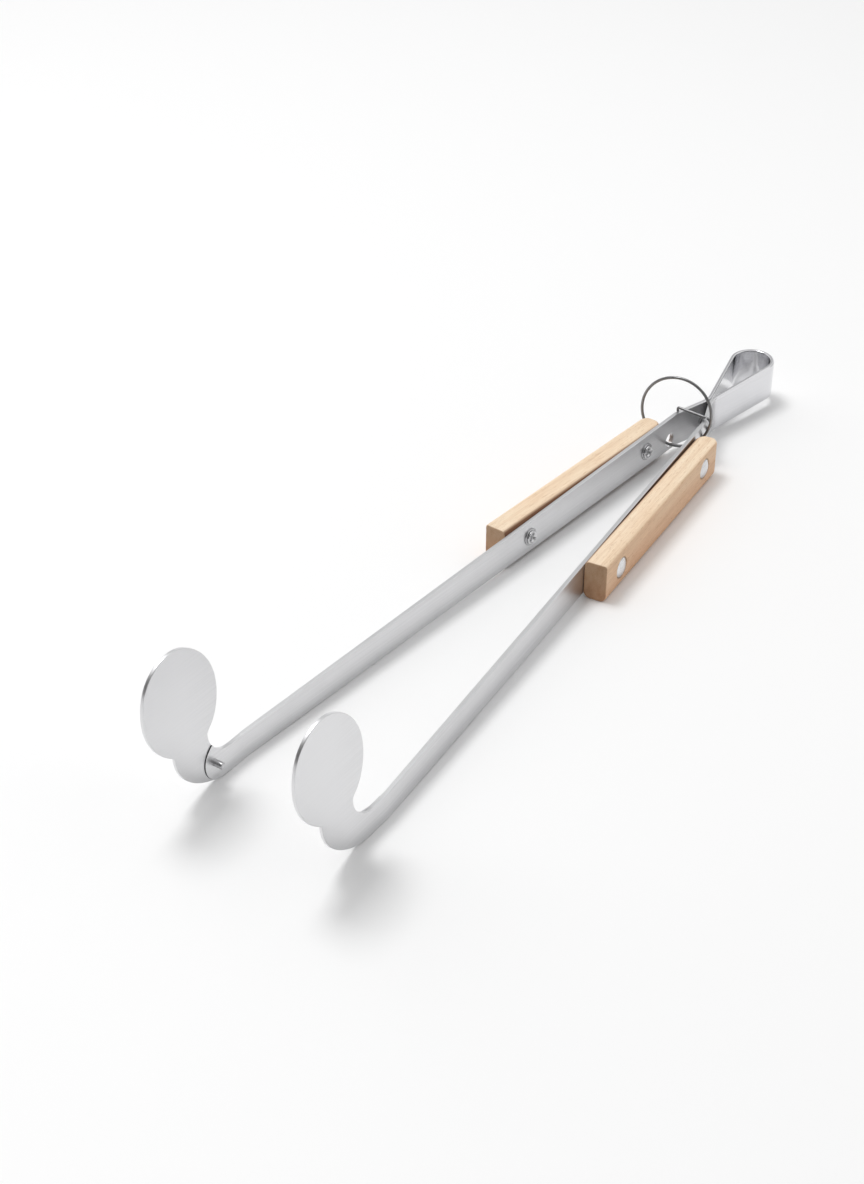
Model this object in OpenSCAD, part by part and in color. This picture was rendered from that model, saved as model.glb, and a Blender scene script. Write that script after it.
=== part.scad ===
// Spring loaded kitchen tongs: two stamped steel arms on a teardrop spring loop, riveted
// wooden grips, a hanging ring threaded through both arms and a small wire locking hook.
// Millimetres. +X runs towards the paddles, +Z is up, the origin is on the resting surface
// under the middle of the tongs. The arms are drawn in their relaxed, open position.

/* [Steel strip] */
// thickness of the steel strip
strip_t = 1.8; // [1.4:0.1:2.2]
// height of the strip at the paddle end
strip_front_h = 11; // [10:0.2:13]
// height of the strip at the start of the arms
strip_rear_h = 16; // [14.6:0.2:17]
// height of the strip at the back of the loop
loop_h = 17; // [16:0.2:18]

/* [Arms] */
// angle between each arm and the middle plane when relaxed
arm_angle = 4.87; // [4.4:0.01:5.4]
// half of the clear gap between the two straight arms, measured at the grips' rear datum
arm_gap = 5.5; // [5.2:0.1:6]
// distance from the rear datum to the inward bend behind the paddles
bend_at = 280.7; // [270:0.1:290]
// angle by which each paddle turns back inwards
toe_in = 4.55; // [3.5:0.05:5]

/* [Paddles] */
// length of each oval paddle
paddle_long = 46; // [42:0.2:48]
// width of each oval paddle
paddle_wide = 35.1; // [32:0.1:37]
// forward lean of each paddle from upright
paddle_lean = 21.7; // [16:0.1:26]
// height of the paddle centre above the surface
paddle_z = 42.7; // [41:0.1:45]
// thickness of the coined paddle blade
blade_t = 1.4; // [1.1:0.1:1.6]

/* [Spring loop] */
// centre-line radius of the round back of the loop
loop_r = 9.1; // [8:0.1:10]
// distance from the neck to the centre of the round back
loop_len = 40; // [34:1:46]

/* [Grips] */
// length of each wooden grip
grip_len = 114; // [108:1:120]
// thickness of each wooden grip
grip_w = 9.9; // [9:0.1:11]
// height of each wooden grip
grip_h = 17; // [16:0.2:18]

/* [Rivets] */
// diameter of the domed outer rivet heads
head_d = 8.6; // [8:0.2:10]
// diameter of the rivet shanks
shank_d = 4; // [3.4:0.1:4.4]
// diameter of the washers under the clinched inner ends
washer_d = 7.4; // [6.6:0.2:8]

/* [Ring and hook] */
// centre-line radius of the hanging ring
ring_r = 15.8; // [15.6:0.1:16]
// wire diameter of the hanging ring
ring_wire = 1.3; // [1.1:0.1:1.5]
// wire diameter of the locking hook
hook_wire = 1.2; // [1:0.1:1.3]

/* [Hidden] */
$fn = 96;

steel = [0.74, 0.75, 0.77];
bright = [0.84, 0.85, 0.86];
beech = [0.86, 0.70, 0.50];
wire_grey = [0.45, 0.46, 0.47];

paddle_angle = arm_angle - toe_in;   // direction of the paddle blades
half_t = strip_t / 2;
eps = 0.05;

// neck, where the loop and the arms meet
neck_x = -14;
neck_y = half_t + 0.25;              // centre line of each strip, half a millimetre apart
neck_gap = 0.15;                     // each strip end stops this far from the flex line
neck_r = 14;                         // bend radius in and out of the neck
flare = 19;                          // steepest angle of the strips in front of the neck

// side profile of the strips
end_x = bend_at + 2.3;               // along the arm, where the paddle blade takes over
rear_bot = 2.6;
loop_back = neck_x - loop_len - loop_r - half_t;
loop_bot = 4.2;

// elbow below each paddle, in the plane of the blade: [along the arm, height]
elbow_r = 30;
elbow_s = 290;
corner_r = 19.6;
corner_c = [297.7, 23];
inner_r = 11.2;
inner_s = 289;
paddle_s = 312.1;
nose_c = [294.4, 9.2];
nose_r = 8.8;
pin_s = 298;
pin_z = 8.6;
pin_d = 2.6;
pin_out = 3.6;

// where the elbow's long arc runs into its tighter corner
corner_x = elbow_s + elbow_r * (corner_c[0] - elbow_s)
           / norm([corner_c[0] - elbow_s, elbow_r - corner_c[1]]);

// grips and rivets
grip_s = 14.5;
rivet_s = [grip_s + 15.5, grip_s + grip_len - 14.5];
head_sink = 1.2;
grip_n = strip_t;                    // the grip sits on the outer face of the strip

// hanging ring
ring_c = [9.95, -4.7, 21.6];
ring_turn = 8;
ring_lean = 5.6;
ring_hole_d = 6.2;
left_hole = [11, 7.6];
right_hole = [9.8, 10.5];

// locking hook
hook_x = 4;
hook_eye_r = 2.6;
hook_eye_z = 17;
hook_hole_d = 2.6;
hook_tip_y = -7;
hook_drop = 1.5;

// four-centre oval: end arcs and flank arcs that meet without a corner
end_r = 0.82 * paddle_wide / 2;
end_z = paddle_long / 2 - end_r;
flank_e = (pow(end_z, 2) - pow(paddle_wide / 2 - end_r, 2)) / (paddle_wide - 2 * end_r);
flank_r = flank_e + paddle_wide / 2;
paddle_reach = flank_r - flank_e * cos(paddle_lean);

// where the middle of the tongs lies along X
front_x = cos(arm_angle) * bend_at - sin(arm_angle) * arm_gap
          + cos(paddle_angle) * (paddle_s + paddle_reach - bend_at);
mid_x = (front_x + loop_back) / 2;

function dir(h) = [cos(h), sin(h)];
function nor(h) = [-sin(h), cos(h)];
function steps(a, b, n) = [for (i = [0 : n]) a + (b - a) * i / n];
function rev(v) = [for (i = [len(v) - 1 : -1 : 0]) v[i]];

// height of the strips' edges along X
function top_z(x) = rear_bot + strip_rear_h
                    + (strip_front_h - strip_rear_h - rear_bot) * x / (end_x - 1.5);
function bot_z(x) = rear_bot * (1 - x / (end_x - 1.5));

// centre line of one arm, seen from above: neck, flare, straight arm, inward bend
c1 = [neck_x, neck_y + neck_r];
p1 = c1 - neck_r * nor(flare);
arm_0 = (arm_gap + half_t) * nor(arm_angle);
// length of the flared stretch that brings the strip onto the straight arm
flare_l = ((arm_0 - p1 + neck_r * (nor(flare) - nor(arm_angle))) * nor(arm_angle))
          / (dir(flare) * nor(arm_angle));
p2 = p1 + flare_l * dir(flare);
c3 = p2 - neck_r * nor(flare);
bend_r = 50;
bend_half = bend_r * tan(toe_in / 2);
p4 = arm_0 + (bend_at - bend_half) * dir(arm_angle);
c5 = p4 - bend_r * nor(arm_angle);
p5 = c5 + bend_r * nor(paddle_angle);
// one edge of the arm strip, k to the outside of its centre line
function arm_edge(k) = concat(
    [[neck_x + neck_gap, neck_y + k]],
    [for (h = steps(1.5, flare, 8)) c1 - (neck_r - k) * nor(h)],
    [for (h = steps(flare, arm_angle, 7)) c3 + (neck_r + k) * nor(h)],
    [for (h = steps(arm_angle, paddle_angle, 6)) c5 + (bend_r + k) * nor(h)],
    [p5 + 0.4 * dir(paddle_angle) + k * nor(paddle_angle)]);

// centre line of the loop, mirrored about the middle plane
function up(h) = [sin(h), cos(h)];
loop_c = [neck_x - loop_len, 0];
c0 = [neck_x, neck_y + neck_r];
loop_d = c0 - loop_c;
psi = asin((neck_r + loop_r) / norm(loop_d)) - atan2(loop_d[1], loop_d[0]);
function loop_side(k) = concat(
    [[neck_x - neck_gap, neck_y + k]],
    [for (h = steps(1.5, psi, 5)) c0 - (neck_r - k) * up(h)]);
function flip(v) = [for (p = v) [p[0], -p[1]]];
function loop_edge(k) = concat(
    loop_side(k),
    [for (h = steps(psi, -180 - psi, 64)) loop_c + (loop_r + k) * up(h)],
    rev(flip(loop_side(k))));

// distance of the strips' centre planes from the middle plane
function arm_y(x) = (arm_gap + half_t) / cos(arm_angle) + x * tan(arm_angle);

module at_origin() {
    translate([-mid_x, 0, 0]) children();
}

// local frame of the right arm: X along the arm, Y outwards from its inner face
module on_arm() {
    at_origin() rotate([0, 0, arm_angle]) translate([0, arm_gap, 0]) children();
}

// frame of the right paddle blade, which continues the inner face past the bend
module on_blade() {
    on_arm() translate([bend_at, 0, 0]) rotate([0, 0, -toe_in]) translate([-bend_at, 0, 0])
        children();
}

module left() {
    mirror([0, 1, 0]) children();
}

// a shape drawn as [along the arm, height], given a thickness outwards from n0
module upright(n0, th) {
    translate([0, n0 + th, 0]) rotate([90, 0, 0]) linear_extrude(height = th) children();
}

// a turned part whose axis points outwards, standing on the face at n0
module outwards(s, n0, z) {
    translate([s, n0, z]) rotate([-90, 0, 0]) children();
}

module elbow_shape() {
    difference() {
        union() {
            translate([bend_at + 2, 0]) square([elbow_s - bend_at - 2, 26]);
            intersection() {
                translate([elbow_s, elbow_r]) circle(r = elbow_r);
                translate([elbow_s - eps, 0]) square([corner_x - elbow_s + eps, 26]);
            }
            intersection() {
                translate(corner_c) circle(r = corner_r);
                translate([corner_x - eps, 0]) square([20, 26]);
            }
        }
        translate([bend_at, strip_front_h]) square([inner_s - bend_at, 40]);
        translate([inner_s, strip_front_h + inner_r]) circle(r = inner_r);
        translate([inner_s - 1, strip_front_h + inner_r]) square([inner_r + 1, 20]);
    }
}

module oval() {
    intersection() {
        translate([-flank_e, 0]) circle(r = flank_r, $fn = 180);
        translate([flank_e, 0]) circle(r = flank_r, $fn = 180);
        square([paddle_wide + 2, 2 * flank_r * end_z / norm([flank_e, end_z])], center = true);
    }
    for (side = [-1, 1])
        translate([0, side * end_z]) circle(r = end_r);
}

module paddle_shape() {
    elbow_shape();
    translate([paddle_s, paddle_z]) rotate(-paddle_lean) oval();
}

// the full-thickness strip ends in a rounded nose on the elbow
module nose_shape() {
    intersection() {
        elbow_shape();
        union() {
            translate(nose_c) circle(r = nose_r);
            translate([bend_at, -1]) square([nose_c[0] - bend_at, 30]);
        }
    }
}

module strip_body() {
    at_origin() intersection() {
        linear_extrude(height = 30) polygon(concat(arm_edge(half_t), rev(arm_edge(-half_t))));
        translate([0, 60, 0]) rotate([90, 0, 0]) linear_extrude(height = 80)
            polygon([[neck_x - 1, bot_z(neck_x - 1)], [end_x - 1.5, 0], [end_x + 3, 0],
                     [end_x + 3, strip_front_h], [end_x - 1.5, strip_front_h],
                     [neck_x - 1, top_z(neck_x - 1)]]);
    }
}

module arm_blank() {
    strip_body();
    on_blade() upright(0, strip_t) nose_shape();
    on_blade() upright(strip_t - blade_t, blade_t) paddle_shape();
}

module rivet_holes() {
    for (s = rivet_s)
        on_arm() outwards(s, -2, rivet_z(s)) cylinder(d = shank_d + 0.1, h = 8);
}

// hole that the hanging ring runs through
module ring_hole(at) {
    at_origin() translate([at[0], -20, at[1]])
        rotate([-90, 0, 0]) cylinder(d = ring_hole_d, h = 40);
}

function rivet_z(s) = (top_z(s) + bot_z(s)) / 2;

module spring_loop() {
    color(steel) at_origin() intersection() {
        linear_extrude(height = 30) polygon(concat(loop_edge(half_t), rev(loop_edge(-half_t))));
        translate([0, 40, 0]) rotate([90, 0, 0]) linear_extrude(height = 80)
            polygon([[loop_back - 1, loop_bot], [neck_x + 1, bot_z(neck_x + 1)],
                     [neck_x + 1, top_z(neck_x + 1)], [loop_back - 1, loop_bot + loop_h]]);
    }
}

module right_arm() {
    color(steel) difference() {
        arm_blank();
        rivet_holes();
        ring_hole(right_hole);
        at_origin() translate([hook_x, 0, hook_eye_z - hook_eye_r])
            rotate([-90, 0, 0]) cylinder(d = hook_hole_d, h = 12);
    }
}

module left_arm() {
    color(steel) difference() {
        left() arm_blank();
        left() rivet_holes();
        ring_hole(left_hole);
        left() on_blade() outwards(pin_s, -2, pin_z) cylinder(d = pin_d, h = 8);
    }
}

// grip cross-section seen from its front end: square top, well-rounded bottom corners
module grip_section() {
    intersection() {
        square([grip_w, grip_h]);
        union() {
            translate([0, 3]) square([grip_w, grip_h - 4]);
            translate([1, 4]) square([grip_w - 2, grip_h - 4]);
            translate([3, 0]) square([grip_w - 6, 5]);
            translate([3, 3]) circle(r = 3);
            translate([grip_w - 3, 3]) circle(r = 3);
            translate([1, grip_h - 1]) circle(r = 1);
            translate([grip_w - 1, grip_h - 1]) circle(r = 1);
        }
    }
}

// grip outline seen from above: cut square in front, rounded corners at the rear
module grip_plan() {
    translate([4, 0]) square([grip_len - 4, grip_w]);
    translate([0, 4]) square([5, grip_w - 8]);
    translate([4, 4]) circle(r = 4);
    translate([4, grip_w - 4]) circle(r = 4);
}

module grip() {
    on_arm() difference() {
        intersection() {
            translate([grip_s, grip_n, 0]) linear_extrude(height = grip_h) grip_plan();
            translate([grip_s, grip_n, 0]) rotate([90, 0, 90]) linear_extrude(height = grip_len)
                grip_section();
        }
        for (s = rivet_s) {
            outwards(s, grip_n - 1, rivet_z(s)) cylinder(d = shank_d + 0.1, h = grip_w + 2);
            outwards(s, grip_n + grip_w - head_sink, rivet_z(s))
                cylinder(d = head_d + 0.5, h = head_sink + 1);
        }
    }
}

module right_grip() {
    color(beech) grip();
}

module left_grip() {
    color(beech) left() grip();
}

// domed head in the counterbore, shank through wood and strip, hollow clinched inner end
module rivet(s) {
    seat = grip_n + grip_w - head_sink;
    on_arm() outwards(s, 0, rivet_z(s)) difference() {
        union() {
            translate([0, 0, seat]) cylinder(d = head_d, h = 0.9);
            intersection() {
                translate([0, 0, seat + 2.1 - dome_r()]) sphere(r = dome_r());
                translate([0, 0, seat + 0.4]) cylinder(d = head_d, h = 3);
            }
            translate([0, 0, -1.1]) cylinder(d = shank_d, h = seat + 1.5);
            translate([0, 0, -1.4]) rotate_extrude()
                polygon([[0, 0], [shank_d / 2 + 0.5, 0], [shank_d / 2 + 1, 0.3],
                         [shank_d / 2 + 0.9, 0.8], [0, 0.8]]);
        }
        translate([0, 0, -2]) cylinder(d = 2.6, h = 5);
    }
}

// sphere radius of a dome that rises 1.2 over the head's edge
function dome_r() = (pow(head_d / 2, 2) + 1.44) / 2.4;

module washer(s) {
    on_arm() outwards(s, -0.6, rivet_z(s)) difference() {
        cylinder(d = washer_d, h = 0.6);
        translate([0, 0, -1]) cylinder(d = shank_d + 0.1, h = 3);
    }
}

module right_rear_rivet() {
    color(bright) rivet(rivet_s[0]);
}

module right_front_rivet() {
    color(bright) rivet(rivet_s[1]);
}

module left_rear_rivet() {
    color(bright) left() rivet(rivet_s[0]);
}

module left_front_rivet() {
    color(bright) left() rivet(rivet_s[1]);
}

module right_rear_washer() {
    color(bright) washer(rivet_s[0]);
}

module right_front_washer() {
    color(bright) washer(rivet_s[1]);
}

module left_rear_washer() {
    color(bright) left() washer(rivet_s[0]);
}

module left_front_washer() {
    color(bright) left() washer(rivet_s[1]);
}

// stub on the left elbow that keeps the paddles from crossing when the tongs are closed
module stop_pin() {
    color(bright) left() on_blade() outwards(pin_s, -pin_out, pin_z) {
        cylinder(d1 = pin_d - 0.8, d2 = pin_d, h = 0.4);
        translate([0, 0, 0.4]) cylinder(d = pin_d, h = pin_out + strip_t - 0.4);
    }
}

module hanging_ring() {
    color(wire_grey) at_origin() translate(ring_c)
        rotate([0, 0, ring_turn]) rotate([0, 90 - ring_lean, 0])
        rotate_extrude() translate([ring_r, 0]) circle(d = ring_wire, $fn = 48);
}

// eye through the right strip, shank across both strips, turned-down tip over the left one
module lock_hook() {
    eye_y = arm_y(hook_x) - 0.1;
    top = hook_eye_z + hook_eye_r;
    rise = atan2(0.9, eye_y - hook_tip_y);
    shank_l = (eye_y - hook_tip_y) / cos(rise);
    leg_d = hook_wire - 0.04;        // straight legs, a hair thinner than the eye they run into
    color(wire_grey) at_origin() translate([hook_x, eye_y, top]) {
        translate([0, 0, -hook_eye_r]) rotate([0, 90, 0])
            rotate_extrude() translate([hook_eye_r, 0]) circle(d = hook_wire, $fn = 48);
        rotate([90 - rise, 0, 0]) cylinder(d = leg_d, h = shank_l);
        translate([0, hook_tip_y - eye_y, 0.9]) sphere(d = hook_wire);
        translate([0, hook_tip_y - eye_y, 0.9 - hook_drop]) cylinder(d = leg_d, h = hook_drop);
    }
}

spring_loop();
left_arm();
right_arm();
left_grip();
right_grip();
left_front_rivet();
left_rear_rivet();
right_front_rivet();
right_rear_rivet();
left_front_washer();
left_rear_washer();
right_front_washer();
right_rear_washer();
stop_pin();
hanging_ring();
lock_hook();
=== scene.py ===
import bpy, bmesh, math
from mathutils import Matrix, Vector


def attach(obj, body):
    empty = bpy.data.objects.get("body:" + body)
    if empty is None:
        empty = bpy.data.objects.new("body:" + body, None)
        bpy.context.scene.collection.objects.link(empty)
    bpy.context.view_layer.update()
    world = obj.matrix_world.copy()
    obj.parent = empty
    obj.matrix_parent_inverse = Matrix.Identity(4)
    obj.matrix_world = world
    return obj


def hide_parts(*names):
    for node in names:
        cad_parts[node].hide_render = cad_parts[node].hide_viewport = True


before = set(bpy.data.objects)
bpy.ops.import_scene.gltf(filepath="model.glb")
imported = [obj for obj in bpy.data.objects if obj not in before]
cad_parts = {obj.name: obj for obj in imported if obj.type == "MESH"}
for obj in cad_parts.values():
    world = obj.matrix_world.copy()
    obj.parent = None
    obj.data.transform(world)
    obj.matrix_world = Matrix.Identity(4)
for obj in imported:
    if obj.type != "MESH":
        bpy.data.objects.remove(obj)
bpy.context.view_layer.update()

MM = 0.001
MID = 132.444          # where part.scad's rear datum lies behind the origin
scene = bpy.context.scene

# ---------------------------------------------------------------- the strips' path, as in part.scad
ARM_A, TOE, GAP, T = math.radians(4.87), math.radians(4.55), 5.5, 1.8
FLARE, BEND, NECK_R, BEND_R = math.radians(19), 280.7, 14.0, 50.0
PAD_A = ARM_A - TOE
NECK_X, NECK_Y = -14.0, 1.15
FRONT_H, REAR_BOT, REAR_H, END_X = 11.0, 2.6, 16.0, 283.0


def vec(h):
    return Vector((math.cos(h), math.sin(h)))


def nor(h):
    return Vector((-math.sin(h), math.cos(h)))


def span(a, b, n):
    return [a + (b - a) * i / n for i in range(n + 1)]


def top_z(x):
    return REAR_BOT + REAR_H + (FRONT_H - REAR_H - REAR_BOT) * x / (END_X - 1.5)


def bot_z(x):
    return REAR_BOT * (1 - x / (END_X - 1.5))


C1 = Vector((NECK_X, NECK_Y + NECK_R))
P1 = C1 - NECK_R * nor(FLARE)
ARM_0 = (GAP + T / 2) * nor(ARM_A)
FLARE_L = (ARM_0 - P1 + NECK_R * (nor(FLARE) - nor(ARM_A))).dot(nor(ARM_A)) / vec(FLARE).dot(nor(ARM_A))
P2 = P1 + FLARE_L * vec(FLARE)
C3 = P2 - NECK_R * nor(FLARE)
HALF = BEND_R * math.tan(TOE / 2)
P4 = ARM_0 + (BEND - HALF) * vec(ARM_A)
C5 = P4 - BEND_R * nor(ARM_A)
BLADE_0 = BEND * vec(ARM_A) + GAP * nor(ARM_A)


def blade_xy(s, n):
    return BLADE_0 + (s - BEND) * vec(PAD_A) + n * nor(PAD_A)


def arm_xy(s, n):
    return s * vec(ARM_A) + (GAP + n) * nor(ARM_A)


def arm_stations():
    """Centre-line points of one arm with their headings, from the neck to the paddle blade."""
    st = [(C1 - NECK_R * nor(h), h) for h in span(0, FLARE, 12)]
    st += [(P1 + FLARE_L * k * vec(FLARE), FLARE) for k in (0.25, 0.5, 0.75)]
    st += [(C3 + NECK_R * nor(h), h) for h in span(FLARE, ARM_A, 10)]
    start = C3 + NECK_R * nor(ARM_A)
    n = 60
    st += [(start + (P4 - start) * (k / n), ARM_A) for k in range(1, n)]
    st += [(C5 + BEND_R * nor(h), h) for h in span(ARM_A, PAD_A, 8)]
    return st


def loop_stations():
    """Centre line of the spring loop, from the right side of the neck round to the left side."""
    r, cx, c0 = 9.1, NECK_X - 40.0, C1
    d = c0 - Vector((cx, 0))
    psi = math.asin((NECK_R + r) / d.length) - math.atan2(d.y, d.x)
    up = lambda h: Vector((math.sin(h), math.cos(h)))
    half = [c0 - NECK_R * up(h) for h in span(0, psi, 8)]
    a, b = half[-1], Vector((cx, 0)) + r * up(psi)
    half += [a + (b - a) * k / 12 for k in range(1, 12)]
    pts = half + [Vector((cx, 0)) + r * up(h) for h in span(psi, -math.pi - psi, 84)]
    pts += [Vector((p.x, -p.y)) for p in reversed(half)]
    return pts


# ---------------------------------------------------------------- mesh helpers
def finish_mesh(name, verts, faces, uvs=None, side=1):
    """Millimetre vertices in part.scad's frame become an object in the shared frame."""
    me = bpy.data.meshes.new(name)
    me.from_pydata([((x - MID) * MM, side * y * MM, z * MM) for x, y, z in verts], [], faces)
    if uvs is not None:
        lay = me.uv_layers.new(name="run")
        for lp in me.loops:
            lay.data[lp.index].uv = uvs[lp.vertex_index]
    bm = bmesh.new()
    bm.from_mesh(me)
    bmesh.ops.remove_doubles(bm, verts=bm.verts, dist=1e-7)
    bmesh.ops.recalc_face_normals(bm, faces=bm.faces)
    bm.to_mesh(me)
    bm.free()
    ob = bpy.data.objects.new(name, me)
    scene.collection.objects.link(ob)
    return ob


def smooth(ob, angle=35):
    me = ob.data
    me.polygons.foreach_set("use_smooth", [True] * len(me.polygons))
    me.set_sharp_from_angle(angle=math.radians(angle))
    mod = ob.modifiers.new("weighted", "WEIGHTED_NORMAL")
    mod.keep_sharp = True
    mod.weight = 80
    apply_all(ob)
    return ob


def apply_all(ob):
    dg = bpy.context.evaluated_depsgraph_get()
    dg.update()
    new = bpy.data.meshes.new_from_object(ob.evaluated_get(dg), preserve_all_data_layers=True, depsgraph=dg)
    old = ob.data
    ob.modifiers.clear()
    ob.data = new
    new.name = ob.name
    bpy.data.meshes.remove(old)


def cut(ob, tool):
    mod = ob.modifiers.new("cut", "BOOLEAN")
    mod.operation, mod.solver, mod.object = "DIFFERENCE", "EXACT", tool
    apply_all(ob)
    me = tool.data
    bpy.data.objects.remove(tool)
    bpy.data.meshes.remove(me)


def lathe(profile, place, seg=64, wobble=None):
    """Turned surface: (radius, height) pairs placed by place(x, y, height); radius 0 is a pole."""
    verts, faces, rings = [], [], []
    for r, h in profile:
        rings.append([])
        for i in range(1 if r == 0 else seg):
            a = 2 * math.pi * i / seg
            q, k = wobble(r, h, a) if wobble and r else (r, h)
            rings[-1].append(len(verts))
            verts.append(place(q * math.cos(a), q * math.sin(a), k))
    for a, b in zip(rings, rings[1:]):
        for i in range(seg):
            k = (i + 1) % seg
            if len(a) == 1:
                faces.append((a[0], b[k], b[i]))
            elif len(b) == 1:
                faces.append((a[i], a[k], b[0]))
            else:
                faces.append((a[i], a[k], b[k], b[i]))
    return verts, faces


def tube(path, r, seg=20, closed=False, ends=True):
    """Round wire along a 3-D path, with rounded ends."""
    path = [Vector(p) for p in path]
    if not closed and ends:
        d0, d1 = (path[0] - path[1]).normalized(), (path[-1] - path[-2]).normalized()
        caps0 = [(path[0] + d0 * r * math.sin(t), r * math.cos(t)) for t in span(math.radians(88), 0, 5)][:-1]
        caps1 = [(path[-1] + d1 * r * math.sin(t), r * math.cos(t)) for t in span(0, math.radians(88), 5)][1:]
        rings = caps0 + [(p, r) for p in path] + caps1
    else:
        rings = [(p, r) for p in path]
    n = len(rings)
    verts, faces = [], []
    ref = None
    for i, (p, rad) in enumerate(rings):
        a = rings[(i - 1) % n][0] if closed or i else p
        b = rings[(i + 1) % n][0] if closed or i < n - 1 else p
        t = (b - a).normalized()
        if ref is None:
            ref = t.cross(Vector((0.3, 0.2, 1))).normalized()
        ref = (ref - t * ref.dot(t)).normalized()
        side = t.cross(ref)
        for j in range(seg):
            q = 2 * math.pi * j / seg
            verts.append(p + rad * (math.cos(q) * ref + math.sin(q) * side))
    for i in range(n if closed else n - 1):
        k = (i + 1) % n
        for j in range(seg):
            m = (j + 1) % seg
            faces.append((i * seg + j, i * seg + m, k * seg + m, k * seg + j))
    if not closed:
        faces.append(tuple(range(seg)))
        faces.append(tuple(reversed(range((n - 1) * seg, n * seg))))
    return [tuple(v) for v in verts], faces


# ---------------------------------------------------------------- outline of elbow and paddle
ELBOW_C, ELBOW_R = Vector((290, 30)), 30.0
CORNER_C, CORNER_R = Vector((297.7, 23)), 19.6
INNER_C, INNER_R = Vector((289, FRONT_H + 11.2)), 11.2
PAD_C, PAD_LEAN = Vector((312.1, 42.7)), math.radians(21.7)
HALF_W, HALF_L = 17.55, 23.0
END_R = 0.82 * HALF_W
END_Z = HALF_L - END_R
FLANK_E = (END_Z ** 2 - (HALF_W - END_R) ** 2) / (2 * (HALF_W - END_R))
FLANK_R = FLANK_E + HALF_W


def oval():
    """Four-arc oval of the paddle, anticlockwise in [along the arm, height]."""
    al = math.atan2(END_Z, FLANK_E)
    pts = [(-FLANK_E + FLANK_R * math.cos(a), FLANK_R * math.sin(a)) for a in span(-al, al, 44)[:-1]]
    pts += [(END_R * math.cos(a), END_Z + END_R * math.sin(a)) for a in span(al, math.pi - al, 44)[:-1]]
    pts += [(FLANK_E + FLANK_R * math.cos(a), FLANK_R * math.sin(a))
            for a in span(math.pi - al, math.pi + al, 44)[:-1]]
    pts += [(END_R * math.cos(a), -END_Z + END_R * math.sin(a))
            for a in span(math.pi + al, 2 * math.pi - al, 44)[:-1]]
    c, s = math.cos(PAD_LEAN), math.sin(PAD_LEAN)
    return [Vector((PAD_C.x + u * c + w * s, PAD_C.y - u * s + w * c)) for u, w in pts]


def paddle_outline():
    """From the strip's bottom edge round the elbow and the paddle to the strip's top edge."""
    a1 = math.atan2(CORNER_C.y - ELBOW_C.y, CORNER_C.x - ELBOW_C.x)
    pts = [Vector((s, 0)) for s in (284.5, 286.5, 288.5)]
    pts += [ELBOW_C + ELBOW_R * vec(a) for a in span(-math.pi / 2, a1, 22)]
    pts += [CORNER_C + CORNER_R * vec(a) for a in span(a1, 0.02, 20)[1:]]
    ov = oval()
    n = len(ov)
    clear = lambda p: (p - CORNER_C).length > CORNER_R - 0.02
    start = max((i for i in range(n) if ov[i].y < 26 and ov[i].x > 305
                 and clear(ov[i]) and not clear(ov[i - 1])), default=0)
    ov = ov[start:] + ov[:start]
    low = PAD_C + Vector((-END_Z * math.sin(PAD_LEAN), -END_Z * math.cos(PAD_LEAN)))
    r2 = ((low - INNER_C - Vector((INNER_R, 0))).length_squared - END_R ** 2) / (
        2 * (END_R - (low.x - INNER_C.x - INNER_R)))
    c2 = INNER_C + Vector((INNER_R - r2, 0))
    touch = math.atan2(low.y - c2.y, low.x - c2.x)
    stop = min(range(n // 3, n), key=lambda i: (ov[i] - c2 - r2 * vec(touch)).length)
    pts = [p for p in pts if p.x < 305 or p.y < ov[0].y]
    pts += ov[:stop]
    pts += [c2 + r2 * vec(a) for a in span(touch, 0, 5)]
    pts += [INNER_C + INNER_R * vec(a) for a in span(0, -math.pi / 2, 18)[1:]]
    pts += [Vector((s, FRONT_H)) for s in (287, 285, 284.5)]
    return pts


def normals_2d(pts):
    out = []
    for i, p in enumerate(pts):
        a = (p - pts[max(i - 1, 0)])
        b = (pts[min(i + 1, len(pts) - 1)] - p)
        a = a.normalized() if a.length > 1e-9 else b.normalized()
        b = b.normalized() if b.length > 1e-9 else a
        t = (a + b).normalized()
        out.append(Vector((t.y, -t.x)))
    return out


def bevel(r, n):
    """Quarter-round edge: (offset from the face, inset from the edge) pairs."""
    return [(r * (1 - math.cos(a)), r * (1 - math.sin(a))) for a in span(0, math.pi / 2, n)]


BEVEL = bevel(0.32, 4)


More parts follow.
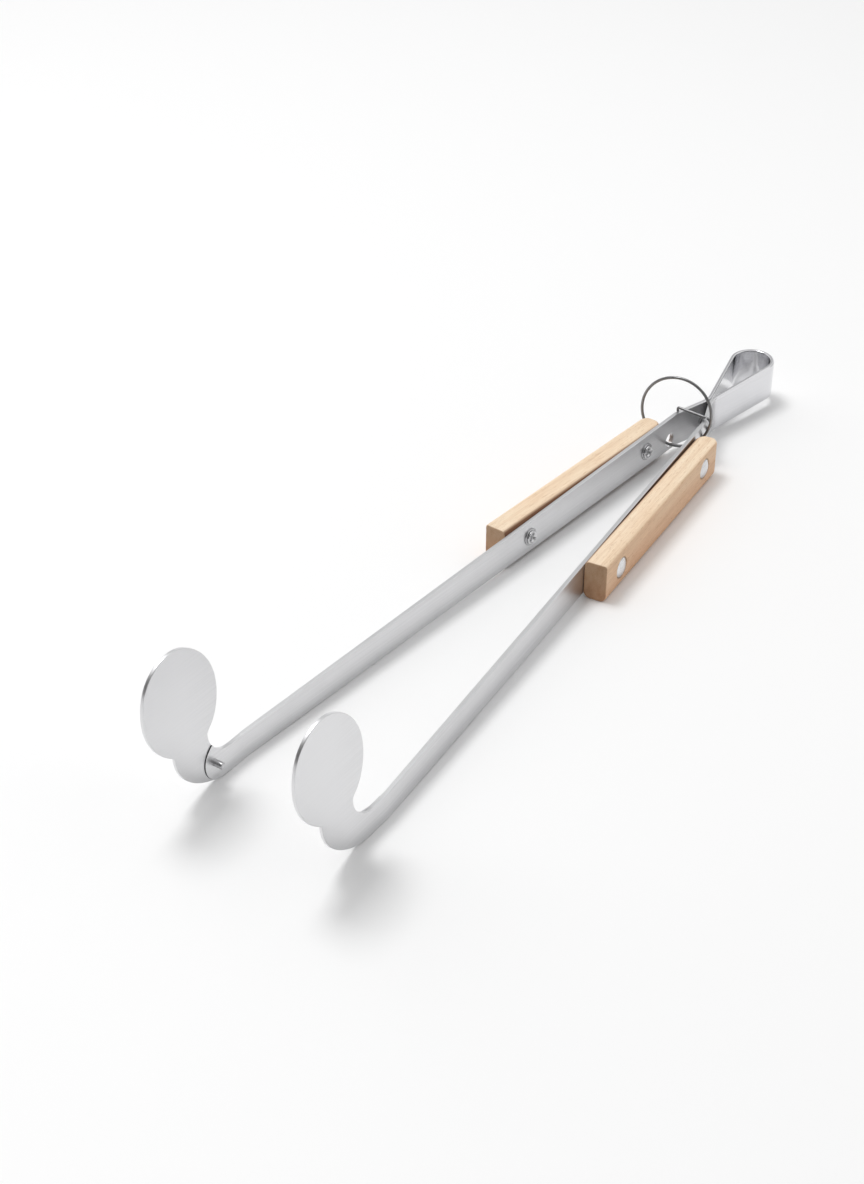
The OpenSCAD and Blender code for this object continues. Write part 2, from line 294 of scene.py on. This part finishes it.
def arm_mesh(name, side):
    st = arm_stations()
    outline = []            # each: place(n, inset) -> xyz, offset of the inner face, run, height
    run, prev = 0.0, st[0][0]
    cols = []
    for p, h in st:
        run += (p - prev).length
        prev = p
        cols.append((p, h, run, 0.0))
    last = blade_xy(283.0, T / 2)
    run += (last - prev).length
    cols.append((last, PAD_A, run, 0.0))
    ramp = blade_xy(283.4, T / 2)
    cols.append((ramp, PAD_A, run + 0.4, 0.4))
    base = run - 283.0

    def strip_vertex(p, h, edge):
        def place(n, inset):
            q = p + (n - T / 2) * nor(h)
            x = p.x
            z = (max(bot_z(x), 0) + inset) if edge < 0 else (max(top_z(x), FRONT_H) - inset)
            return (q.x, q.y, z)
        return place

    def blade_vertex(p, nn):
        def place(n, inset):
            q2 = p - inset * nn
            q = blade_xy(q2.x, n)
            return (q.x, q.y, q2.y)
        return place

    for p, h, u, n0 in cols:
        outline.append((strip_vertex(p, h, -1), n0, u, max(bot_z(p.x), 0)))
    pts = paddle_outline()
    for p, nn in zip(pts, normals_2d(pts)):
        outline.append((blade_vertex(p, nn), 0.4, base + p.x, p.y))
    for p, h, u, n0 in reversed(cols):
        outline.append((strip_vertex(p, h, 1), n0, u, max(top_z(p.x), FRONT_H)))
    layers = [("in", off, ins) for off, ins in BEVEL] + [("out", off, ins) for off, ins in reversed(BEVEL)]
    verts, uvs, faces = [], [], []
    m = len(outline)
    for kind, off, ins in layers:
        for place, n0, u, z in outline:
            n = n0 + off if kind == "in" else T - off
            verts.append(place(n, ins))
            uvs.append((u, z + n + (5 if kind == "out" else 0)))
    for k in range(len(layers) - 1):
        for i in range(m):
            j = (i + 1) % m
            faces.append((k * m + i, k * m + j, (k + 1) * m + j, (k + 1) * m + i))
    c = len(cols)
    for lay, flip in ((0, False), (len(layers) - 1, True)):
        o = lay * m
        for i in range(c - 1):
            f = (o + i, o + m - 1 - i, o + m - 2 - i, o + i + 1)
            faces.append(f[::-1] if flip else f)
        f = tuple(o + i for i in range(c - 1, m - c + 1))
        faces.append(f if flip else f[::-1])
    return finish_mesh(name, verts, faces, uvs, side=side)


def nose_mesh(name, side):
    """Full-thickness end of the strip, a rounded nose standing 0.4 proud on the elbow's inner face."""
    c, r = Vector((294.4, 9.2)), 8.8
    low, high = 0.03, FRONT_H - 0.03
    pts = [Vector((283.0, low)), Vector((286, low)), Vector((289.5, low))]
    floor_z = lambda s: (ELBOW_C.y - math.sqrt(ELBOW_R ** 2 - max(s - ELBOW_C.x, 0) ** 2)) + 0.03

    def roof(p):
        d = p.x - INNER_C.x
        if d < 0:
            return min(p.y, high)
        if d < INNER_R:
            return min(p.y, INNER_C.y - math.sqrt(INNER_R ** 2 - d * d) - 0.03)
        return p.y
    arc = [c + r * vec(a) for a in span(math.radians(-86), math.radians(96), 40)]
    for p in arc:
        z = max(p.y, floor_z(p.x))
        q = Vector((p.x, z))
        pts.append(Vector((q.x, roof(q))))
    pts = [p for i, p in enumerate(pts) if i == 0 or p.x > 283.01]
    pts += [Vector((289, high)), Vector((286, high)), Vector((283.0, high))]
    clean = [pts[0]]
    for p in pts[1:]:
        if (p - clean[-1]).length > 0.05:
            clean.append(p)
    nn = normals_2d(clean)
    verts, uvs, faces = [], [], []
    m = len(clean)
    lays = [(off * 0.6, ins * 0.6) for off, ins in BEVEL] + [(0.7, 0)]
    for off, ins in lays:
        for p, q in zip(clean, nn):
            k = 0 if p.x < 283.5 else ins
            s2 = p - k * q
            xy = blade_xy(s2.x, off)
            verts.append((xy.x, xy.y, s2.y))
            uvs.append((s2.x + 3, s2.y + off))
    for k in range(len(lays) - 1):
        for i in range(m):
            j = (i + 1) % m
            faces.append((k * m + i, k * m + j, (k + 1) * m + j, (k + 1) * m + i))
    faces.append(tuple(reversed(range(m))))
    faces.append(tuple(range((len(lays) - 1) * m, len(lays) * m)))
    ob = finish_mesh(name, verts, faces, uvs, side=side)
    # faces of the nose's edge wall past s 296.5 take slot 1: near-black steel as painted shade along the step
    for f in ob.data.polygons:
        f.material_index = 1 if abs(f.normal.y) < 0.75 and f.center.x * 1000 + MID > 296.5 else 0
    return ob


def loop_mesh(name):
    pts = loop_stations()
    n = len(pts)
    verts, uvs, faces = [], [], []
    x0, x1 = NECK_X, NECK_X - 40 - 9.1 - 0.9
    run = 0.0
    edge_in, edge_out = bevel(0.55, 6), bevel(0.75, 6)
    sec = [("in", o, i, -1) for o, i in edge_in[::-1]] + [("in", o, i, 1) for o, i in edge_in]
    sec += [("out", o, i, 1) for o, i in edge_out[::-1]] + [("out", o, i, -1) for o, i in edge_out]
    for i, p in enumerate(pts):
        a, b = pts[max(i - 1, 0)], pts[min(i + 1, n - 1)]
        t = (b - a).normalized()
        if i in (0, n - 1):
            t = Vector((-1, 0)) if i == 0 else Vector((1, 0))
        if i:
            run += (p - pts[i - 1]).length
        k = (p.x - x0) / (x1 - x0)
        zb = bot_z(x0) + (4.2 - bot_z(x0)) * k
        zt = top_z(x0) + (21.2 - top_z(x0)) * k
        outv = Vector((t.y, -t.x))
        for kind, off, ins, edge in sec:
            d = (-T / 2 + off) if kind == "in" else (T / 2 - off)
            q = p + outv * d
            z = zb + ins if edge < 0 else zt - ins
            verts.append((q.x, q.y, z))
            uvs.append((run, z + (3 if kind == "out" else 0)))
    m = len(sec)
    for i in range(n - 1):
        for j in range(m):
            k = (j + 1) % m
            faces.append((i * m + j, i * m + k, (i + 1) * m + k, (i + 1) * m + j))
    faces.append(tuple(range(m)))
    faces.append(tuple(reversed(range((n - 1) * m, n * m))))
    return finish_mesh(name, verts, faces, uvs)


# ---------------------------------------------------------------- grips, rivets, pin, wires
GRIP_S, GRIP_L, GRIP_W, GRIP_H = 14.5, 114.0, 9.9, 17.0
RIVET_S = (GRIP_S + 15.5, GRIP_S + GRIP_L - 14.5)
SINK = 1.2
rivet_z = lambda s: (top_z(s) + bot_z(s)) / 2


def on_arm(s, n, z):
    q = arm_xy(s, n)
    return (q.x, q.y, z)


def grip_mesh(name, side):
    """Hardwood block: rounded rear corners, square front, eased edges all round."""
    end_r, ease = 4.0, 0.5
    rows = [GRIP_S + end_r * (1 - math.cos(a)) for a in span(0, math.pi / 2, 12)]
    rows = rows + span(rows[-1], GRIP_S + GRIP_L - ease, 30)[1:]
    front = [(GRIP_S + GRIP_L - ease + ease * math.sin(a), ease * (1 - math.cos(a)))
             for a in span(0, math.pi / 2, 4)][1:]
    verts, faces = [], []

    def section(inset_n, inset_z):
        w0, w1 = T + inset_n, T + GRIP_W - inset_n
        z0, z1 = inset_z, GRIP_H - inset_z
        rb = min(3.0, (w1 - w0) / 2 - 0.01)
        rt = min(1.2, (w1 - w0) / 2 - 0.01)
        ri = min(2.3, (w1 - w0) / 2 - 0.01)
        pts = []
        for cx, cz, r, a0 in ((w1 - rb, z0 + rb, rb, -90), (w1 - rt, z1 - rt, rt, 0),
                              (w0 + ri, z1 - ri, ri, 90), (w0 + rb, z0 + rb, rb, 180)):
            for a in span(math.radians(a0), math.radians(a0 + 90), 8):
                pts.append((cx + r * math.cos(a), cz + r * math.sin(a)))
        return pts
    stations = []
    for s in rows:
        d = max(end_r - (s - GRIP_S), 0)
        inset = end_r - math.sqrt(end_r ** 2 - d * d)
        e = max(1.0 - (s - GRIP_S), 0)
        stations.append((s, inset, 1 - math.sqrt(1 - e * e) if e < 1 else 1.0))
    stations += [(s, i, i) for s, i in front]
    for s, i_n, i_z in stations:
        for n, z in section(i_n, i_z):
            verts.append(on_arm(s, n, z))
    m, k = 36, len(stations)
    for i in range(k - 1):
        for j in range(m):
            q = (j + 1) % m
            faces.append((i * m + j, i * m + q, (i + 1) * m + q, (i + 1) * m + j))
    faces.append(tuple(reversed(range(m))))
    faces.append(tuple(range((k - 1) * m, k * m)))
    ob = finish_mesh(name, verts, faces, side=side)
    for s in RIVET_S:
        z = rivet_z(s)
        prof = [(0, T - 1), (2.05, T - 1), (2.05, T + GRIP_W - SINK), (4.55, T + GRIP_W - SINK),
                (4.55, T + GRIP_W - 0.25), (4.8, T + GRIP_W), (4.8, T + GRIP_W + 2), (0, T + GRIP_W + 2)]
        v, f = lathe(prof, lambda x, y, h, s=s, z=z: on_arm(s + x, h, z + y), 72)
        cut(ob, finish_mesh("cutter", v, f, side=side))
    return smooth(ob, 40)


def rivet_mesh(name, side, s, seed):
    z = rivet_z(s)
    seat = T + GRIP_W - SINK
    head_r, rise = 4.3, 1.2
    dome = (head_r ** 2 + rise ** 2) / (2 * rise)
    prof = [(0, seat), (4.05, seat), (4.25, seat + 0.15), (head_r, seat + 0.4), (head_r, seat + 0.72),
            (4.23, seat + 0.93)]
    for r in (4.0, 3.6, 3.0, 2.3, 1.6, 0.8, 0):
        prof.append((r, seat + 2.1 - dome + math.sqrt(dome * dome - r * r)))
    v, f = lathe(prof, lambda x, y, h: on_arm(s + x, h, z + y), 72)
    # rolled inner end with its bore
    tail = [(2.0, seat), (2.0, 0.2), (2.0, -0.6), (2.78, -0.62), (2.98, -0.78), (3.0, -0.98),
            (2.9, -1.22), (2.72, -1.36), (2.5, -1.4), (2.2, -1.3), (1.9, -1.02), (1.66, -0.6),
            (1.5, 0.0), (1.42, 0.8), (1.3, 1.6), (0, 2.0)]

    def dented(r, h, a):
        if h > -0.55:
            return r, h
        k = 0.05 * math.sin(3 * a + seed) + 0.035 * math.sin(7 * a + 2.3 * seed)
        return r + k * (0.8 if r > 2.4 else 0.5), h + 0.5 * k * math.sin(2 * a + seed)
    v2, f2 = lathe(tail, lambda x, y, h: on_arm(s + x, h, z + y), 72, dented)
    o = len(v)
    ob = finish_mesh(name, v + v2, f + [tuple(i + o for i in q) for q in f2], side=side)
    return smooth(ob, 40)


def washer_mesh(name, side, s):
    z = rivet_z(s)
    prof = [(2.05, 0), (2.05, -0.52), (2.13, -0.6), (3.5, -0.6), (3.62, -0.55), (3.7, -0.42),
            (3.7, -0.08), (3.62, 0), (2.05, 0)]
    v, f = lathe(prof, lambda x, y, h: on_arm(s + x, h, z + y), 64)
    return smooth(finish_mesh(name, v, f, side=side), 40)


def pin_mesh(name):
    prof = [(0, -3.6), (0.85, -3.6), (0.98, -3.56), (1.24, -3.3), (1.3, -3.12), (1.3, 1.5), (1.2, 1.72),
            (0, 1.74)]

    def place(x, y, h):
        q = blade_xy(298 + x, h)
        return (q.x, q.y, 8.6 + y)
    v, f = lathe(prof, place, 48)
    return smooth(finish_mesh(name, v, f, side=-1), 40)


RING_C, RING_R, RING_W = Vector((9.95, -4.7, 21.6)), 15.8, 1.3
RING_TURN, RING_LEAN = math.radians(8), math.radians(5.6)


def ring_mesh(name):
    n = Vector((math.cos(RING_TURN) * math.cos(RING_LEAN), math.sin(RING_TURN) * math.cos(RING_LEAN),
                math.sin(RING_LEAN)))
    a = Vector((0, 0, 1)).cross(n).normalized()
    b = n.cross(a)
    turns = [2 * math.pi * i / 144 for i in range(144)]
    path = [RING_C + RING_R * (math.cos(q) * a + math.sin(q) * b) for q in turns]
    v, f = tube(path, RING_W / 2, 20, closed=True)
    return smooth(finish_mesh(name, v, f), 60)


def hook_mesh(name):
    hx, ez, er, wr = 4.0, 17.0, 2.6, 0.6
    ey = (GAP + T / 2) / math.cos(ARM_A) + hx * math.tan(ARM_A) - 0.1
    path = [Vector((hx, ey + er * math.sin(a), ez + er * math.cos(a)))
            for a in span(math.radians(-338), 0, 54)]
    end = Vector((hx, -7, ez + er + 0.9))
    a, b = path[-1], end
    path += [a + (b - a) * k / 14 for k in range(1, 14)]
    bend = 0.75
    d = (b - a).normalized()
    down = Vector((0, 0, -1))
    path[-1] = b - d * bend
    path += [b - d * bend + bend * (math.sin(q) * d + (1 - math.cos(q)) * down)
             for q in span(0, math.pi / 2, 7)[1:]]
    path += [path[-1] + down * 0.4, path[-1] + down * 0.75]
    v, f = tube(path, wr, 18)
    return smooth(finish_mesh(name, v, f), 60)


# ---------------------------------------------------------------- camera
def make_camera():
    yaw, pitch = math.radians(214.0), math.radians(34.34)
    fwd = Vector((math.cos(yaw) * math.cos(pitch), math.sin(yaw) * math.cos(pitch), -math.sin(pitch)))
    cam = bpy.data.objects.new("camera", bpy.data.cameras.new("camera"))
    scene.collection.objects.link(cam)
    cam.location = (0.563275, 0.32990, 0.44321)
    cam.rotation_mode = "QUATERNION"
    cam.rotation_quaternion = fwd.to_track_quat("-Z", "Y")
    cam.data.sensor_width = 36
    cam.data.lens = 36 * 1985.6 / 1184
    cam.data.clip_start, cam.data.clip_end = 0.01, 20
    scene.camera = cam
    return cam


# ---------------------------------------------------------------- node helpers
class Mat:
    """A small helper that lays out one procedural material."""

    def __init__(self, name):
        self.mat = bpy.data.materials.new(name)
        self.mat.use_nodes = True
        self.nt = self.mat.node_tree
        self.bsdf = self.nt.nodes["Principled BSDF"]
        self.coord = self.nt.nodes.new("ShaderNodeTexCoord").outputs["Object"]

    def node(self, kind, **props):
        n = self.nt.nodes.new(kind)
        for k, v in props.items():
            setattr(n, k, v)
        return n

    def link(self, a, b):
        self.nt.links.new(a, b)

    def run(self):
        return self.node("ShaderNodeUVMap", uv_map="run").outputs["UV"]

    def mapping(self, scale=(1, 1, 1), rot=(0, 0, 0), loc=(0, 0, 0), source=None):
        n = self.node("ShaderNodeMapping")
        n.inputs["Scale"].default_value = scale
        n.inputs["Rotation"].default_value = rot
        n.inputs["Location"].default_value = loc
        self.link(source or self.coord, n.inputs["Vector"])
        return n.outputs["Vector"]

    def noise(self, vec, scale, detail=4, rough=0.55, distort=0.0):
        n = self.node("ShaderNodeTexNoise")
        n.inputs["Scale"].default_value = scale
        n.inputs["Detail"].default_value = detail
        n.inputs["Roughness"].default_value = rough
        n.inputs["Distortion"].default_value = distort
        self.link(vec, n.inputs["Vector"])
        return n.outputs["Fac"]

    def ramp(self, fac, stops):
        n = self.node("ShaderNodeValToRGB")
        els = n.color_ramp.elements
        while len(els) < len(stops):
            els.new(0.5)
        for el, (pos, col) in zip(els, stops):
            el.position = pos
            el.color = (*col, 1) if len(col) == 3 else col
        self.link(fac, n.inputs["Fac"])
        return n.outputs["Color"]

    def grey(self, fac, stops):
        return self.ramp(fac, [(p, (v, v, v)) for p, v in stops])

    def math(self, op, a, b=0.0, clamp=False):
        n = self.node("ShaderNodeMath", operation=op, use_clamp=clamp)
        for i, v in enumerate((a, b)):
            if isinstance(v, (int, float)):
                n.inputs[i].default_value = v
            else:
                self.link(v, n.inputs[i])
        return n.outputs["Value"]

    def mix(self, fac, a, b, blend="MIX"):
        n = self.node("ShaderNodeMix", data_type="RGBA", blend_type=blend)
        for sock, v in ((n.inputs[0], fac), (n.inputs[6], a), (n.inputs[7], b)):
            if isinstance(v, (int, float)):
                sock.default_value = v
            elif isinstance(v, tuple):
                sock.default_value = (*v, 1)
            else:
                self.link(v, sock)
        return n.outputs[2]

    def bump(self, height, strength, distance, normal=None):
        n = self.node("ShaderNodeBump")
        n.inputs["Strength"].default_value = strength
        n.inputs["Distance"].default_value = distance
        self.link(height, n.inputs["Height"])
        if normal is not None:
            self.link(normal, n.inputs["Normal"])
        return n.outputs["Normal"]

    def set(self, **values):
        for k, v in values.items():
            sock = self.bsdf.inputs[k.replace("_", " ")]
            if isinstance(v, (int, float)):
                sock.default_value = v
            elif isinstance(v, tuple):
                sock.default_value = (*v, 1)
            else:
                self.link(v, sock)
        return self.mat


def brushed(name, base, rough, fine=1.0, shift=0.0):
    """Stainless strip, brushed along its run, with faint handling marks."""
    m = Mat(name)
    uv = m.mapping(loc=(shift, shift, 0), source=m.run())
    lines = m.noise(m.mapping(scale=(0.045, 5.5, 1), source=uv), 1.0, 3, 0.6)
    broad = m.noise(m.mapping(scale=(0.018, 1.1, 1), source=uv), 1.0, 3, 0.55)
    cloud = m.noise(m.coord, 46, 5, 0.6)
    smear = m.noise(m.mapping(loc=(3, 7, 2)), 26, 6, 0.65, 0.6)
    scratch = m.noise(m.mapping(scale=(0.3, 9, 1), rot=(0, 0, 0.12), source=uv), 1.0, 2, 0.5)
    tone = m.grey(lines, [(0.3, 0.93), (0.7, 1.0)])
    tone = m.mix(0.5, tone, m.grey(broad, [(0.32, 0.87), (0.68, 1.0)]), "MULTIPLY")
    tone = m.mix(0.7, tone, m.grey(cloud, [(0.3, 0.94), (0.72, 1.0)]), "MULTIPLY")
    tone = m.mix(0.5, tone, m.grey(scratch, [(0.24, 0.76), (0.31, 1.0)]), "MULTIPLY")
    at = m.node("ShaderNodeSeparateXYZ")
    m.link(m.run(), at.inputs[0])
    plain = m.math("MULTIPLY", m.math("ADD", at.outputs["X"], -308.0), 0.06, True)
    tone = m.mix(m.math("MULTIPLY", plain, 0.75), tone, (0.95, 0.95, 0.95))
    col = m.mix(1.0, tone, base, "MULTIPLY")
    r = m.math("ADD", m.math("MULTIPLY", lines, 0.14), m.math("MULTIPLY", smear, 0.14))
    r = m.math("ADD", r, rough - 0.14)
    b = m.bump(m.mix(m.math("MULTIPLY", plain, 0.8), lines, (0.5, 0.5, 0.5)), 0.25 * fine, 0.00003)
    b = m.bump(broad, 0.20 * fine, 0.00006, b)
    return m.set(Base_Color=col, Metallic=1.0, Roughness=r, Normal=b)


def turned(name, base, rough):
    """Bright rivet steel: soft blotches and tiny dents."""
    m = Mat(name)
    cloud = m.noise(m.coord, 420, 5, 0.6)
    fine = m.noise(m.coord, 2600, 3, 0.6)
    dents = m.noise(m.mapping(loc=(1, 2, 3)), 900, 2, 0.5)
    tone = m.grey(cloud, [(0.3, 0.80), (0.7, 1.0)])
    tone = m.mix(0.5, tone, m.grey(fine, [(0.3, 0.86), (0.7, 1.0)]), "MULTIPLY")
    col = m.mix(1.0, tone, base, "MULTIPLY")
    r = m.math("ADD", m.math("MULTIPLY", cloud, 0.22), rough - 0.11)
    b = m.bump(dents, 0.35, 0.00012)
    b = m.bump(fine, 0.25, 0.00004, b)
    return m.set(Base_Color=col, Metallic=1.0, Roughness=r, Normal=b)


def wire(name, base, rough):
    """Drawn wire: dark satin steel with fine draw lines and slight tarnish; near black, the same material is
    also the painted shade on the elbow nose's edge.
    """
    m = Mat(name)
    cloud = m.noise(m.coord, 260, 5, 0.62)
    fine = m.noise(m.coord, 3800, 3, 0.6)
    tone = m.grey(cloud, [(0.28, 0.62), (0.7, 1.0)])
    tone = m.mix(0.6, tone, m.grey(fine, [(0.3, 0.8), (0.7, 1.0)]), "MULTIPLY")
    col = m.mix(1.0, tone, base, "MULTIPLY")
    r = m.math("ADD", m.math("MULTIPLY", cloud, 0.2), rough - 0.1)
    return m.set(Base_Color=col, Metallic=1.0, Roughness=r, Normal=m.bump(fine, 0.3, 0.00004))


def beech(name, turn, seed, inner):
    """Light beech, grain along the grip, small ray flecks, end grain at the ends; painted shade by face
    direction on the ends, the sides and the inner top edge.
    """
    m = Mat(name)
    v = m.mapping(rot=(0, 0, -turn), loc=(seed, seed * 0.7, seed * 1.3))
    wavy = m.noise(m.mapping(scale=(9, 70, 70), source=v), 1.0, 3, 0.5)
    off = m.node("ShaderNodeVectorMath", operation="MULTIPLY_ADD")
    m.link(wavy, off.inputs[0])
    off.inputs[1].default_value = (0.0, 0.004, 0.003)
    m.link(v, off.inputs[2])
    w = off.outputs["Vector"]
    rings = m.noise(m.mapping(scale=(7, 420, 260), source=w), 1.0, 4, 0.55)
    fibre = m.noise(m.mapping(scale=(60, 3600, 3600), source=w), 1.0, 4, 0.65)
    pores = m.noise(m.mapping(scale=(240, 5200, 5200), source=v), 1.0, 2, 0.5)
    fleck = m.noise(m.mapping(scale=(330, 2400, 1500), source=v), 1.0, 1, 0.5)
    patch = m.noise(m.mapping(scale=(30, 60, 60), source=v), 1.0, 4, 0.6)
    col = m.ramp(rings, [(0.30, (0.77, 0.59, 0.41)), (0.48, (0.88, 0.715, 0.53)),
                         (0.68, (0.93, 0.79, 0.61))])
    plain = (1.0, 1.0, 1.0)

    def tint(amount, base, fac, *stops):
        return m.mix(amount, base, m.ramp(fac, stops), "MULTIPLY")
    col = tint(0.55, col, fibre, (0.32, (0.80, 0.72, 0.64)), (0.62, plain))
    col = tint(0.55, col, pores, (0.30, (0.62, 0.50, 0.40)), (0.40, plain))
    col = tint(0.5, col, fleck, (0.66, plain), (0.74, (0.70, 0.55, 0.42)))
    col = tint(0.6, col, patch, (0.34, (0.95, 0.86, 0.80)), (0.66, plain))
    # redder and darker towards the bottom
    z = m.node("ShaderNodeSeparateXYZ")
    m.link(m.coord, z.inputs[0])
    low = m.math("MULTIPLY", z.outputs["Z"], 55.0)
    col = tint(0.8, col, low, (0.0, (0.90, 0.74, 0.66)), (0.75, plain))
    # painted shade by face direction in the grip's frame: darker end faces (end grain and painted shade),
    # darker side faces, a dark brown inner top edge
    face = m.node("ShaderNodeVectorRotate", rotation_type="Z_AXIS")
    m.link(m.node("ShaderNodeTexCoord").outputs["Normal"], face.inputs["Vector"])
    face.inputs["Angle"].default_value = -turn
    n = m.node("ShaderNodeSeparateXYZ")
    m.link(face.outputs["Vector"], n.inputs[0])
    ends = m.math("ABSOLUTE", n.outputs["X"])
    flank = m.math("ABSOLUTE", n.outputs["Y"])
    edge = m.math("MULTIPLY", n.outputs["Y"], inner)
    # painted shade: dark brown band where the top edge rounds toward the strip
    col = tint(1.0, col, edge, (0.30, plain), (0.72, (0.26, 0.17, 0.12)))
    # painted shade on the side faces
    col = tint(1.0, col, flank, (0.35, plain), (0.9, (0.91, 0.80, 0.72)))
    # end faces darker: end grain, partly painted shade
    col = tint(1.0, col, ends, (0.45, plain), (0.95, (0.66, 0.53, 0.44)))
    r = m.math("ADD", m.math("MULTIPLY", fibre, 0.18), m.math("MULTIPLY", patch, 0.12))
    r = m.math("ADD", r, 0.40)
    b = m.bump(fibre, 0.35, 0.0001)
    b = m.bump(pores, 0.30, 0.00008, b)
    return m.set(Base_Color=col, Roughness=r, Normal=b, Specular_IOR_Level=0.35)


# ---------------------------------------------------------------- build the pieces
def give(ob, mat, body, *nodes):
    """Material, body and replaced nodes for one piece; slot 0 keeps its faces' own material index."""
    marks = [f.material_index for f in ob.data.polygons]
    ob.data.materials.clear()
    ob.data.materials.append(mat)
    ob.data.polygons.foreach_set("material_index", marks)
    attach(ob, body)
    if nodes:
        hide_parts(*nodes)
    return ob


make_camera()
STRIP = brushed("strip_steel_brushed", (0.80, 0.80, 0.81), 0.34)
LOOP = brushed("strip_steel_polished", (0.80, 0.80, 0.82), 0.17, 0.5, 40.0)
RIVET = turned("rivet_steel_bright", (0.80, 0.80, 0.81), 0.24)
WIRE = wire("wire_steel_satin", (0.33, 0.33, 0.335), 0.32)
# near-black steel painted on the nose's edge wall as its shade line
PAINTED_SHADE_STEEL = wire("painted_shade_dark_steel", (0.10, 0.10, 0.10), 0.5)
PIN = turned("pin_steel", (0.62, 0.62, 0.63), 0.28)
WOOD_L, WOOD_R = beech("beech_left", -ARM_A, 3.1, 1.0), beech("beech_right", ARM_A, 8.4, -1.0)

give(smooth(loop_mesh("loop_strip")), LOOP, "loop", "spring_loop")
for tag, side in (("left", -1), ("right", 1)):
    body = tag + "_side"
    arm = arm_mesh(tag + "_strip", side)
    ring_hole = ((11.0, 7.6), 3.1) if side < 0 else ((9.8, 10.5), 3.1)
    hook_hole = ((4.0, 14.4), 1.3)
    for (hx, hz), hr in [ring_hole] + ([hook_hole] if side > 0 else []):
        v, f = lathe([(0, -2), (hr, -2), (hr, 16), (0, 16)], lambda x, y, h: (hx + x, h + 1, hz + y), 56)
        cut(arm, finish_mesh("cutter", v, f, side=side))
    give(smooth(arm), STRIP, body, tag + "_arm")
    nose = give(smooth(nose_mesh(tag + "_nose", side)), STRIP, body, tag + "_arm")
    # slot 1: painted shade on the nose's edge wall
    nose.data.materials.append(PAINTED_SHADE_STEEL)
    give(grip_mesh(tag + "_handle", side), WOOD_L if side < 0 else WOOD_R, body, tag + "_grip")
    for place, s in (("rear", RIVET_S[0]), ("front", RIVET_S[1])):
        seed = s * 0.37 + side
        give(rivet_mesh(f"{tag}_{place}_stud", side, s, seed), RIVET, body, f"{tag}_{place}_rivet")
        give(washer_mesh(f"{tag}_{place}_disc", side, s), PIN, body, f"{tag}_{place}_washer")
give(pin_mesh("elbow_pin"), PIN, "left_side", "stop_pin")
give(ring_mesh("wire_ring"), WIRE, "ring", "hanging_ring")
give(hook_mesh("wire_hook"), WIRE, "hook", "lock_hook")

# ---------------------------------------------------------------- stage
bpy.ops.mesh.primitive_plane_add(size=12, location=(0, 0, 0))
floor = bpy.context.object
floor.name = "floor"
fm = Mat("floor_white")
floor.data.materials.append(fm.set(Base_Color=(0.92, 0.92, 0.92), Roughness=0.6))
world = bpy.data.worlds.new("studio")
scene.world = world
world.use_nodes = True
wt = world.node_tree
sky = wt.nodes.new("ShaderNodeTexCoord").outputs["Generated"]


def sky_patch(azimuth, elevation, inner, outer):
    """1 inside a soft round patch of the sky, 0 outside; sizes are half angles in degrees."""
    a, e = math.radians(azimuth), math.radians(elevation)
    dot = wt.nodes.new("ShaderNodeVectorMath")
    dot.operation = "DOT_PRODUCT"
    dot.inputs[1].default_value = (math.cos(a) * math.cos(e), math.sin(a) * math.cos(e), math.sin(e))
    wt.links.new(sky, dot.inputs[0])
    rng = wt.nodes.new("ShaderNodeMapRange")
    rng.interpolation_type = "SMOOTHSTEP"
    rng.inputs["From Min"].default_value = math.cos(math.radians(outer))
    rng.inputs["From Max"].default_value = math.cos(math.radians(inner))
    wt.links.new(dot.outputs["Value"], rng.inputs["Value"])
    return rng.outputs["Result"]


# (azimuth, elevation, inner, outer), depth: dim parts of the sky that shade the wood and line the steel
DIM = [((34, 8, 35, 75), 0.80), ((-27, 22, 22, 42), 0.85), ((150, 12, 8, 26), 0.5), ((214, 34, 8, 26), 0.45)]
level = 0.98
for args, depth in DIM:
    mul = wt.nodes.new("ShaderNodeMath")
    mul.operation = "MULTIPLY_ADD"
    wt.links.new(sky_patch(*args), mul.inputs[0])
    mul.inputs[1].default_value, mul.inputs[2].default_value = -depth, 1.0
    both = wt.nodes.new("ShaderNodeMath")
    both.operation = "MULTIPLY"
    wt.links.new(mul.outputs[0], both.inputs[0])
    if isinstance(level, float):
        both.inputs[1].default_value = level
    else:
        wt.links.new(level, both.inputs[1])
    level = both.outputs[0]
wt.links.new(level, wt.nodes["Background"].inputs[1])
wt.nodes["Background"].inputs[0].default_value = (1, 1, 1, 1)
scene.view_settings.view_transform = "Standard"


def area(name, loc, size, power, target=(0, 0, 0.02)):
    """Square soft light aimed at the target."""
    li = bpy.data.lights.new(name, "AREA")
    li.size, li.energy = size, power
    ob = bpy.data.objects.new(name, li)
    scene.collection.objects.link(ob)
    ob.location = loc
    ob.rotation_mode = "QUATERNION"
    ob.rotation_quaternion = (Vector(target) - Vector(loc)).to_track_quat("-Z", "Y")
    return ob


area("key", (0.0, -0.62, 1.74), 0.60, 14)
